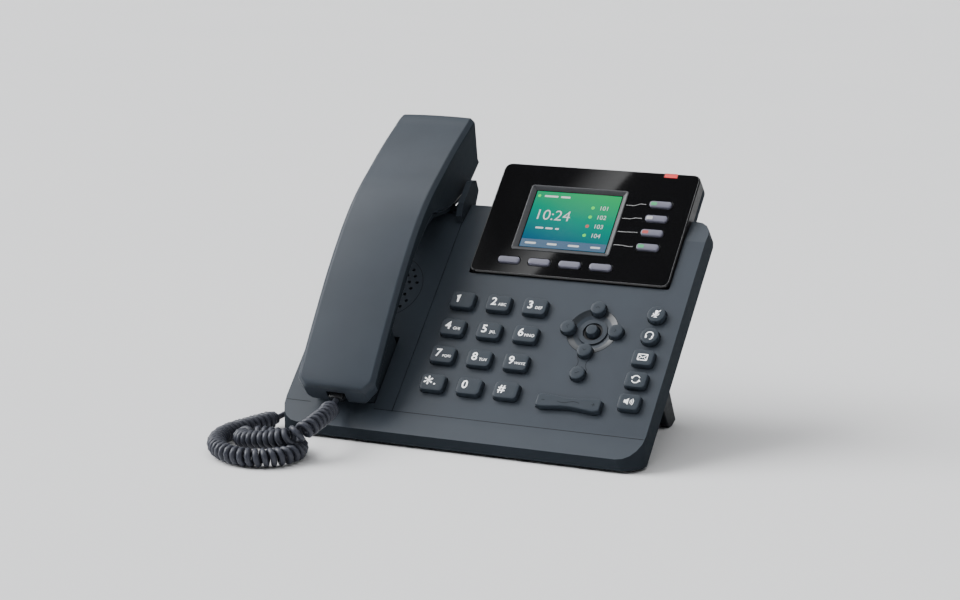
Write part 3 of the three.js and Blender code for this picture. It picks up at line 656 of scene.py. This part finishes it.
def make_handset():
    vertices, faces = handset_shell()
    shell = piece("handset_shell", vertices, faces, None, SLATE)
    jack_room = [(HANDSET_X - 5.3, 0), (HANDSET_X + 5.3, 0), (HANDSET_X + 5.3, 11.4), (HANDSET_X - 5.3, 11.4)]
    low = [(x, -4, n) for x, n in jack_room]
    high = [(x, 5, n) for x, n in jack_room]
    sides = [(0, 1, 2, 3), (7, 6, 5, 4), (0, 4, 5, 1), (1, 5, 6, 2), (2, 6, 7, 3), (3, 7, 4, 0)]
    carve(shell, (low + high, sides), FACE)
    # The handset's side faces take the darker copy of the slate plastic: painted shade
    shell.data.materials.append(SLATE_SHADED)
    for face in shell.data.polygons:
        face.material_index = 1 if abs(face.normal.x) > 0.9 else 0
    rounded(shell, 0.55, 3, 25)
    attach(shell, "handset")
    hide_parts("handset_back_shell")


make_handset()

# ---------- keys ----------

LETTERS = {"2": "ABC", "3": "DEF", "4": "GHI", "5": "JKL", "6": "MNO", "7": "PQRS", "8": "TUV", "9": "WXYZ"}
DIAL = {"x": -20.25, "s": 71.1, "pitch_x": 20.75, "pitch_s": 17.5, "width": 13.5, "height": 10.0}
NAV = {"x": 55.8, "s": 61.0, "radius": 13.2, "button": 4.1, "ok": 3.8, "drop": 27.3}
FUNCTION = {"x": 88.0, "s": 73.3, "pitch": 13.42}
ROCKER = {"x": 56.5, "s": 15.4, "width": 35.0, "height": 8.4, "waist": 1.3}
FOOT_OF_CAP = -2.6
CROWN = 0.06


def at(matrix, x, y, n=0.0):
    return matrix @ Matrix.Translation((x, y, n))


def make_cap(node, outline, matrix, top, material, edge=0.45, crown=CROWN, reach=1.6, draft=0.12):
    """A key cap that stands for a CAD key: drafted sides, a soft edge and a slightly domed top."""
    vertices, faces = loft(pillow(outline, FOOT_OF_CAP, top, edge, crown, draft, 5, 3, reach), matrix)
    cap = piece(node + "_cap", vertices, faces, node, material, sharp=50)
    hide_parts(node)
    return cap


def rect_outline(width, height, radius):
    return lambda inset: round_rect(width - 2 * inset, height - 2 * inset, max(radius - inset * 0.8, 0.2))


def round_outline(radius):
    return lambda inset: circle(radius - inset)


def make_dial_keys():
    for i, name in enumerate(["1", "2", "3", "4", "5", "6", "7", "8", "9", "star", "0", "hash"]):
        node = "dial_key_" + name
        x = DIAL["x"] + (i % 3) * DIAL["pitch_x"]
        s = DIAL["s"] - i // 3 * DIAL["pitch_s"]
        seat = at(FACE, x, s)
        make_cap(node, rect_outline(DIAL["width"], DIAL["height"], 2.2), seat, KEY_TOP, KEYCAP)
        sign = {"star": "*", "hash": "#"}.get(name, name)
        size, drop = (11.5, -1.9) if name == "star" else (6.6, 0.0)
        shape = ribbon([(-1.0, 1.3), (0.2, 2.2), (0.2, -2.2)], 0.85) if name == "1" else text(sign, size, 0.09)
        drawing = shifted(shape, -2.5, 0.4 + drop, KEY_TOP + CROWN)
        if name in LETTERS:
            small = text(LETTERS[name], 2.4 if len(LETTERS[name]) == 3 else 2.05, 0.0)
            drawing = join(drawing, shifted(small, 2.6, -1.0, KEY_TOP + CROWN))
        if name == "star":
            drawing = join(drawing, shifted(plate(circle(0.5, sides=12)), 1.4, -1.1, KEY_TOP + CROWN))
        mark("print_" + name, drawing, seat, node, GLOWING_PRINT)


def make_nav_keys():
    for i, name in enumerate(["right", "up", "left", "down"]):
        turn = i * math.pi / 2
        x = NAV["x"] + NAV["radius"] * round(math.cos(turn))
        s = NAV["s"] + NAV["radius"] * round(math.sin(turn))
        node = "nav_key_" + name
        seat = at(FACE, x, s)
        make_cap(node, round_outline(NAV["button"]), seat, KEY_TOP - 0.35, KEYCAP, 0.5, 0.08, 1.2)
        chevron = ribbon([(-0.45, -1.0), (0.45, 0), (-0.45, 1.0)], 0.28)
        mark("mark_" + name, shifted(chevron, 0, 0, KEY_TOP - 0.27, 1, turn), seat, node, ENGRAVED)
    seat = at(FACE, NAV["x"], NAV["s"])
    make_cap("nav_key_ok", round_outline(NAV["ok"]), seat, 1.75, KEYCAP, 0.35, 0.05, 1.0, 0.75)
    seat = at(FACE, NAV["x"], NAV["s"] - NAV["drop"])
    make_cap("cancel_key", round_outline(NAV["button"]), seat, KEY_TOP - 0.35, KEYCAP, 0.5, 0.08, 1.2)
    mark("mark_cancel", shifted(ribbon([(-1.1, -0.5), (1.1, 0.5)], 0.3), 0, 0, KEY_TOP - 0.27), seat,
         "cancel_key", ENGRAVED)


def muted_symbol():
    capsule = plate(round_rect(1.5, 2.9, 0.74, 0, 0.7, 6))
    cradle = ribbon(arc(0, 0.3, 1.5, 180, 360, 12), 0.38)
    post = ribbon([(0, -1.2), (0, -2.1)], 0.38)
    foot = ribbon([(-0.9, -2.1), (0.9, -2.1)], 0.38)
    slash = ribbon([(-2, -1.9), (2, 2.3)], 0.42, 0.05)
    return join(capsule, cradle, post, foot, slash)


def headset_symbol():
    band = ribbon(arc(0, 0.1, 2.0, -40, 220, 24), 0.5)
    pads = [plate(round_rect(0.9, 1.6, 0.35, x, -0.9, 4)) for x in (-1.65, 1.65)]
    boom = ribbon([(1.7, -1.6), (1.3, -2.2), (0.4, -2.3)], 0.34)
    return join(band, *pads, boom)


def message_symbol():
    frame_line = ribbon(round_rect(5.0, 3.5, 0.3, steps=2), 0.45, closed=True)
    flap = ribbon([(-2.3, 1.5), (0, -0.3), (2.3, 1.5)], 0.4)
    folds = [ribbon([(2.3 * side, -1.5), (0.9 * side, -0.2)], 0.35) for side in (-1, 1)]
    return join(frame_line, flap, *folds)


def redial_symbol():
    parts = []
    for turn in (0, 180):
        parts.append(ribbon(arc(0, 0, 2.1, 25 + turn, 155 + turn, 14), 0.5))
        tip = math.radians(150 + turn)
        x, y = 2.1 * math.cos(tip), 2.1 * math.sin(tip)
        head = [(-0.95, 0.1), (0.85, 0.5), (-0.05, -1.15)]
        c, s = math.cos(math.radians(turn)), math.sin(math.radians(turn))
        parts.append(plate([(x + u * c - v * s, y + u * s + v * c) for u, v in head]))
    return join(*parts)


def speaker_symbol():
    cone = plate([(-2.6, -0.8), (-1.6, -0.8), (-0.3, -1.9), (-0.3, 1.9), (-1.6, 0.8), (-2.6, 0.8)])
    waves = [ribbon(arc(-0.3, 0, r, -42, 42, 10), 0.34) for r in (1.1, 1.9, 2.7)]
    return join(cone, *waves)


def make_function_keys():
    symbols = [("mute", muted_symbol), ("headset", headset_symbol), ("message", message_symbol),
               ("redial", redial_symbol), ("speaker", speaker_symbol)]
    for i, (name, symbol) in enumerate(symbols):
        node = name + "_key"
        seat = at(FACE, FUNCTION["x"], FUNCTION["s"] - i * FUNCTION["pitch"])
        outline = round_outline(4.9) if i < 2 else rect_outline(11.5, 9.4, 2.2)
        make_cap(node, outline, seat, KEY_TOP, KEYCAP)
        mark("print_" + name, shifted(symbol(), 0, 0, KEY_TOP + CROWN), seat, node, GLOWING_PRINT)


def rocker_outline(inset):
    half, tall = ROCKER["width"] / 2 - inset, ROCKER["height"] / 2 - inset
    line = []
    for i in range(-24, 25):
        t = i / 24
        ends = 1 - 0.28 * max(0, abs(t) * 6 - 5) ** 1.6
        line.append((t * half, (tall - ROCKER["waist"] * math.cos(t * math.pi / 2) ** 2) * ends))
    return [(x, -y) for x, y in line] + [(x, y) for x, y in reversed(line)]


def make_rocker():
    seat = at(FACE, ROCKER["x"], ROCKER["s"])
    make_cap("volume_rocker", rocker_outline, seat, KEY_TOP, KEYCAP, 0.7, 0.0, 0.8)
    wave = [(-6 + 12 * k / 24, 0.75 * math.sin(math.pi * (k / 12 - 1)) * 0.8) for k in range(25)]
    signs = [ribbon(wave, 0.26), shifted(ribbon([(-0.9, 0), (0.9, 0)], 0.3), -13.6, 0),
             shifted(ribbon([(-0.9, 0), (0.9, 0)], 0.3), 13.6, 0), shifted(ribbon([(0, -0.9), (0, 0.9)], 0.3), 13.6, 0)]
    mark("mark_volume", shifted(join(*signs), 0, 0, KEY_TOP + 0.01), seat, "volume_rocker", ENGRAVED)


def make_pills():
    for i in range(4):
        below, beside = (-35.4 + 17.4 * i, 8.7), (39, 51.3 - 9.2 * i)
        for node, (x, y) in ((f"soft_key_{i + 1}", below), (f"line_key_{i + 1}", beside)):
            pill = rect_outline(12.4, 4.1, 1.6)
            make_cap(node, pill, at(HEAD, x, y), 1.0, PILL, 0.5, 0.1, 0.9)


make_dial_keys()
make_nav_keys()
make_function_keys()
make_rocker()
make_pills()



def make_dish():
    """The smooth hollow that the navigation keys stand around, and a black ring on the floor of its well that paints
    the shade in it.
    """
    steps = 16
    inner, outer = 6.45, NAV["radius"] + 0.35
    slope = [(inner + (outer - inner) * k / steps, -1.4 + 1.42 * (k / steps) ** 2) for k in range(steps + 1)]
    profile = slope + [(r, n - 0.3) for r, n in reversed(slope)]
    rings = [[(x, y, n) for x, y in circle(r, sides=72)] for r, n in profile]
    vertices, faces = loft(rings + [rings[0]], at(FACE, NAV["x"], NAV["s"]), (False, False))
    dish = piece("nav_dish", vertices, faces, None, DISH)
    posts = []
    for i in range(4):
        x = NAV["radius"] * round(math.cos(i * math.pi / 2))
        s = NAV["radius"] * round(math.sin(i * math.pi / 2))
        ends = [[(u, v, n) for u, v in circle(NAV["button"] + 0.25, x, s)] for n in (-4, 3)]
        posts.append(loft(ends, Matrix.Identity(4)))
    carve(dish, join(*posts), at(FACE, NAV["x"], NAV["s"]))
    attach(dish, "base")
    # A black ring at the bottom of the well around the OK key: painted shade
    rings = [[(x, y, n) for x, y in circle(r, sides=48)] for r, n in
             ((NAV["ok"] + 0.35, -1.5), (6.4, -1.5), (6.4, -1.3), (NAV["ok"] + 0.35, -1.34))]
    vertices, faces = loft(rings + [rings[0]], at(FACE, NAV["x"], NAV["s"]), (False, False))
    floor = piece("nav_well_painted_shade", vertices, faces, "base", BLACK_EDGE)


make_dish()

# Fine outlines moulded around the ring of navigation keys and its neck
ring = ribbon(circle(NAV["radius"] + 0.5, NAV["x"], NAV["s"], 72), 0.22, closed=True)
neck = []
for side in (-1, 1):
    line = [(NAV["x"] + side * (2.2 + 1.6 * (2 * k / 12 - 1) ** 2), NAV["s"] - 16.4 - 7.6 * k / 12)
            for k in range(13)]
    neck.append(ribbon(line, 0.22))
mark("nav_outline", join(ring, *neck), FACE, "base", ENGRAVED)

# The fine joint line between the keypad face and the front band, and the rim around the loudspeaker
half = BASE_WIDTH / 2 - 0.6
joint_line = [
    ribbon([(-half, 0.4), (HANDSET_X - 18.6, 0.4)], 0.3), ribbon([(HANDSET_X + 18.6, 0.4), (half, 0.4)], 0.3)]
mark("joint_line", join(*joint_line), FACE, "base", ENGRAVED)
mark("speaker_rim", ribbon(circle(20, HANDSET_X, 77, 72), 0.25, closed=True), FACE, "base", ENGRAVED)

# ---------- display ----------

LCD = {"x": -8.7, "y": 37.3, "width": 48.96, "height": 36.72, "frame_width": 56.0, "frame_height": 42.8}
WINDOW_TOP = -1.2
FASCIA = {"width": 112.9, "length": 72.4}


def make_bezel():
    """The fascia is polished on its front and dull around its sides."""
    shown = detailed("head_bezel", BLACK_GLOSS, 0.45)
    shown.data.materials.append(BLACK_EDGE)
    front = HEAD.to_3x3() @ Vector((0, 0, 1))
    for face in shown.data.polygons:
        face.material_index = 0 if face.normal.dot(front) > 0.4 * front.length else 1


def make_surround():
    """The grey frame that slopes from the fascia down to the window."""
    def ring_at(width, height, radius, n):
        return [(x, y, n) for x, y in round_rect(width, height, radius, LCD["x"], LCD["y"], 6)]
    frame_width, frame_height = LCD["frame_width"] - 0.1, LCD["frame_height"] - 0.1
    inner_width, inner_height = LCD["width"] + 1.2, LCD["height"] + 0.8
    rings = [
        ring_at(frame_width, frame_height, 1.6, WINDOW_TOP + 0.02), ring_at(frame_width, frame_height, 1.6, 0.22),
        ring_at(frame_width - 0.5, frame_height - 0.5, 1.4, 0.34),
        ring_at(frame_width - 1.5, frame_height - 1.5, 1.0, 0.3),
        ring_at(inner_width, inner_height, 0.3, WINDOW_TOP + 0.12),
        ring_at(inner_width, inner_height, 0.3, WINDOW_TOP + 0.02)]
    vertices, faces = loft(rings + [rings[0]], HEAD, (False, False))
    made = piece("display_surround", vertices, faces, "base", SURROUND)


def screen_material():
    """Green at the top right falling to blue at the bottom left, softly clouded, behind clear polish."""
    made = Nodes("screen_picture")
    ramp = made.add("ValToRGB")
    stops = ramp.color_ramp.elements
    stops[0].position, stops[0].color = 0.12, (0.0, 0.10, 0.22, 1)
    stops[1].position, stops[1].color = 0.95, (0.0, 0.52, 0.14, 1)
    middle = stops.new(0.5)
    middle.color = (0.0, 0.30, 0.22, 1)
    split = made.add("SeparateXYZ")
    made.link(made.place("Generated"), split.inputs["Vector"])
    across = made.add("Math", operation="MULTIPLY_ADD")
    across.inputs[1].default_value = 0.22
    made.link(split.outputs["X"], across.inputs[0])
    upward = made.add("Math", operation="MULTIPLY_ADD")
    upward.inputs[1].default_value = 0.78
    made.link(split.outputs["Z"], upward.inputs[0])
    made.link(across.outputs["Value"], upward.inputs[2])
    across.inputs[2].default_value = 0.0
    made.link(upward.outputs["Value"], ramp.inputs["Fac"])
    made.link(ramp.outputs["Color"], made.shader.inputs["Emission Color"])
    made.shader.inputs["Emission Strength"].default_value = 0.95
    made.link(made.spread(made.noise(700, 2), 0.05, 0.09), made.shader.inputs["Roughness"])
    made.shader.inputs["Base Color"].default_value = (0.004, 0.008, 0.008, 1)
    made.shader.inputs["Specular IOR Level"].default_value = 0.15
    return made.material


def make_screen():
    window = nodes["display_window"]
    for i in range(len(window.data.materials)):
        window.data.materials[i] = BLACK_GLOSS
    picture = [(x, y, WINDOW_TOP + 0.03) for x, y in
               round_rect(LCD["width"], LCD["height"], 0.2, LCD["x"], LCD["y"], 2)]
    low = [(x, y, WINDOW_TOP + 0.01) for x, y, n in picture]
    vertices, faces = loft([low, picture], HEAD)
    made = piece("screen_picture", vertices, faces, "base", screen_material())
    left, top = LCD["x"] - LCD["width"] / 2, LCD["y"] + LCD["height"] / 2
    over = WINDOW_TOP + 0.035

    def words(name, drawing, x, y, material, scale=1.0):
        mark(name, shifted(drawing, left + x, top - y, over, scale), HEAD, "base", material)

    white = glow("screen_white", (0.85, 0.9, 0.9), 0.95)
    green = glow("screen_green", (0.0, 0.9, 0.03), 1.2)
    red = glow("screen_red", (0.75, 0.08, 0.05), 0.9)
    blue = glow("screen_bar", (0.0, 0.10, 0.24), 0.8)
    bar = lambda width, height: plate(round_rect(width, height, height * 0.45, steps=3), 0.012)
    words("screen_time", text("10:24", 9.4, -0.05, 0.012), 13.2, 15.6, white)
    words("screen_date", join(shifted(bar(4.6, 1.1), -5.6, 0), shifted(bar(4.2, 1.1), 0, 0),
                              shifted(bar(2.2, 1.1), 4.6, 0)), 13.6, 23.9, white)
    words("screen_status", join(shifted(bar(8.0, 1.2), 0, 0), shifted(bar(5.6, 1.2), 8.2, 0)), 9.0, 3.0, white)
    words("screen_status_dot", plate(circle(0.9, sides=16), 0.012), 2.0, 3.0, green)
    for i in range(4):
        y = 8.6 + 6.0 * i
        words(f"screen_line_{i + 1}", text(str(101 + i), 3.8, 0.0, 0.012), 41.0, y, white)
        words(f"screen_dot_{i + 1}", plate(circle(1.0, sides=16), 0.012), 34.6, y, red if i == 2 else green)
    words("screen_softkeys", plate(round_rect(LCD["width"] - 0.4, 5.0, 0.1, steps=1), 0.004), 24.5, 34.0, blue)
    for i in range(4):
        drawing = shifted(bar(6.4 - 0.8 * (i % 2), 1.2), 5.8 + 12.4 * i - 24.5, 0, 0.006)
        words(f"screen_softkey_{i + 1}", drawing, 24.5, 34.0, white)


def make_fascia_marks():
    """Thin bent lines that lead from the display to the line keys, lit thirds of those keys, a grey line round the
    fascia that paints its edge highlight, and the lamp.
    """
    for i in range(4):
        y = 50.9 - 8.6 * i
        end = 51.3 - 9.2 * i
        line = ribbon([(19.9, y - 1.2), (24.5, y - 1.2), (27.5, end - 0.2), (30.8, end - 0.2)], 0.28)
        mark(f"leader_{i + 1}", shifted(line, 0, 0, 0.005), HEAD, "base", LEADER)
        color = ((0.0, 0.7, 0.2), (0.9, 0.9, 0.9), (0.85, 0.02, 0.02), (0.0, 0.7, 0.2))[i]
        lit = plate(round_rect(3.4, 2.0, 0.6, steps=4), 0.03)
        mark(f"line_lamp_{i + 1}", shifted(lit, 39 - 3.6, end, 1.1), HEAD, f"line_key_{i + 1}",
             glow(f"line_lamp_{i + 1}", color, 0.7, (0.05, 0.05, 0.05)))
    # A grey line round the fascia's edge: a painted highlight for its bevel
    rim = ribbon(round_rect(FASCIA["width"] - 1.3, FASCIA["length"] - 1.3, 3.4, 0, FASCIA["length"] / 2), 0.16,
                 closed=True)
    mark("fascia_painted_highlight", shifted(rim, 0, 0, 0.005), HEAD, "base", EDGE_HIGHLIGHT_GREY)
    lamp = nodes["message_led"]
    for i in range(len(lamp.data.materials)):
        lamp.data.materials[i] = LAMP


make_bezel()
make_surround()
make_screen()
make_fascia_marks()

# ---------- studio ----------

SKY = {"ambient": 0.13, "key": 6.6, "toward": (-0.42, 0.08, 0.9), "core": 30, "edge": 50}
SIDE_LAMP = {"strength": 12.0, "toward": (-0.76, -0.2, 0.62), "core": 10, "edge": 27}
RIGHT_LAMP = {"strength": 1.6, "toward": (0.5, -0.05, 0.86), "core": 8, "edge": 30}
KEY_RISE = (-0.14, 0.02)
KEY_FALL = (0.10, 0.34)
GLEAM = {"toward": (-0.36, -0.175, 0.917), "across": (0.723, -0.674, 0.155), "fade": 0.018, "strength": 2.4}


def add_sky():
    """A white studio sky: a long soft lamp overhead, and a thin gleam that the fascia mirrors."""
    world = bpy.data.worlds.new("studio")
    scene.world = world
    world.use_nodes = True
    tree = world.node_tree

    def node(kind, **values):
        made = tree.nodes.new("ShaderNode" + kind)
        for key, value in values.items():
            setattr(made, key, value)
        return made

    def along(direction):
        dot = node("VectorMath", operation="DOT_PRODUCT")
        tree.links.new(node("TexCoord").outputs["Generated"], dot.inputs[0])
        dot.inputs[1].default_value = Vector(direction).normalized()
        return dot.outputs["Value"]

    def ramp(value, start, stop, low=0.0, high=1.0):
        made = node("MapRange", interpolation_type="SMOOTHSTEP")
        for key, number in (("From Min", start), ("From Max", stop), ("To Min", low), ("To Max", high)):
            made.inputs[key].default_value = number
        tree.links.new(value, made.inputs["Value"])
        return made.outputs["Result"]

    def times(*values):
        product = values[0]
        for value in values[1:]:
            made = node("Math", operation="MULTIPLY")
            tree.links.new(product, made.inputs[0])
            tree.links.new(value, made.inputs[1])
            product = made.outputs["Value"]
        return product

    def plus(a, b):
        made = node("Math", operation="ADD")
        tree.links.new(a, made.inputs[0])
        tree.links.new(b, made.inputs[1])
        return made.outputs["Value"]

    edge, core = math.cos(math.radians(SKY["edge"])), math.cos(math.radians(SKY["core"]))
    depth = along((0, 1, 0))
    key = times(ramp(along(SKY["toward"]), edge, core, 0, SKY["key"]), ramp(depth, *KEY_RISE),
                ramp(depth, *KEY_FALL, 1, 0.15))
    side = along(GLEAM["across"])
    gleam = times(ramp(side, -0.0004, 0.0004, 1, 0), ramp(side, -GLEAM["fade"], 0, 0, GLEAM["strength"]),
                  ramp(along(GLEAM["toward"]), 0.99, 0.995))
    base = ramp(along((0, 0, 1)), -0.2, 0.9, SKY["ambient"], SKY["ambient"] * 0.6)

    def lamp(values):
        return ramp(along(values["toward"]), math.cos(math.radians(values["edge"])),
                    math.cos(math.radians(values["core"])), 0, values["strength"])

    fill = plus(lamp(SIDE_LAMP), lamp(RIGHT_LAMP))
    tree.links.new(plus(plus(plus(base, key), fill), gleam), tree.nodes["Background"].inputs["Strength"])
    tree.nodes["Background"].inputs["Color"].default_value = (0.98, 0.99, 1.0, 1)


def make_studio():
    """A wide pale floor that curves up far from the object."""
    made = Nodes("studio_floor")
    cloudy = made.mix(made.noise(3, 2), (0.70, 0.70, 0.71), (0.73, 0.73, 0.73))
    made.link(cloudy, made.shader.inputs["Base Color"])
    made.link(made.bump(made.noise(900, 2), 0.05, 0.0001), made.shader.inputs["Normal"])
    made.shader.inputs["Roughness"].default_value = 0.7
    reach, rise, steepest, steps, sides = 7.0, 2.5, 70, 8, 96
    rings = [[(x, y, 0) for x, y in circle(r, sides=sides)] for r in (0.5, 2, 4, reach)]
    for k in range(1, steps + 1):
        a = math.radians(steepest * k / steps)
        height = rise * (1 - math.cos(a))
        rings.append([(x, y, height) for x, y in circle(reach + rise * math.sin(a), sides=sides)])
    vertices, faces = loft(rings, Matrix.Identity(4), (True, False))
    floor = piece("floor", vertices, faces, None, made.material)
    add_sky()


make_studio()
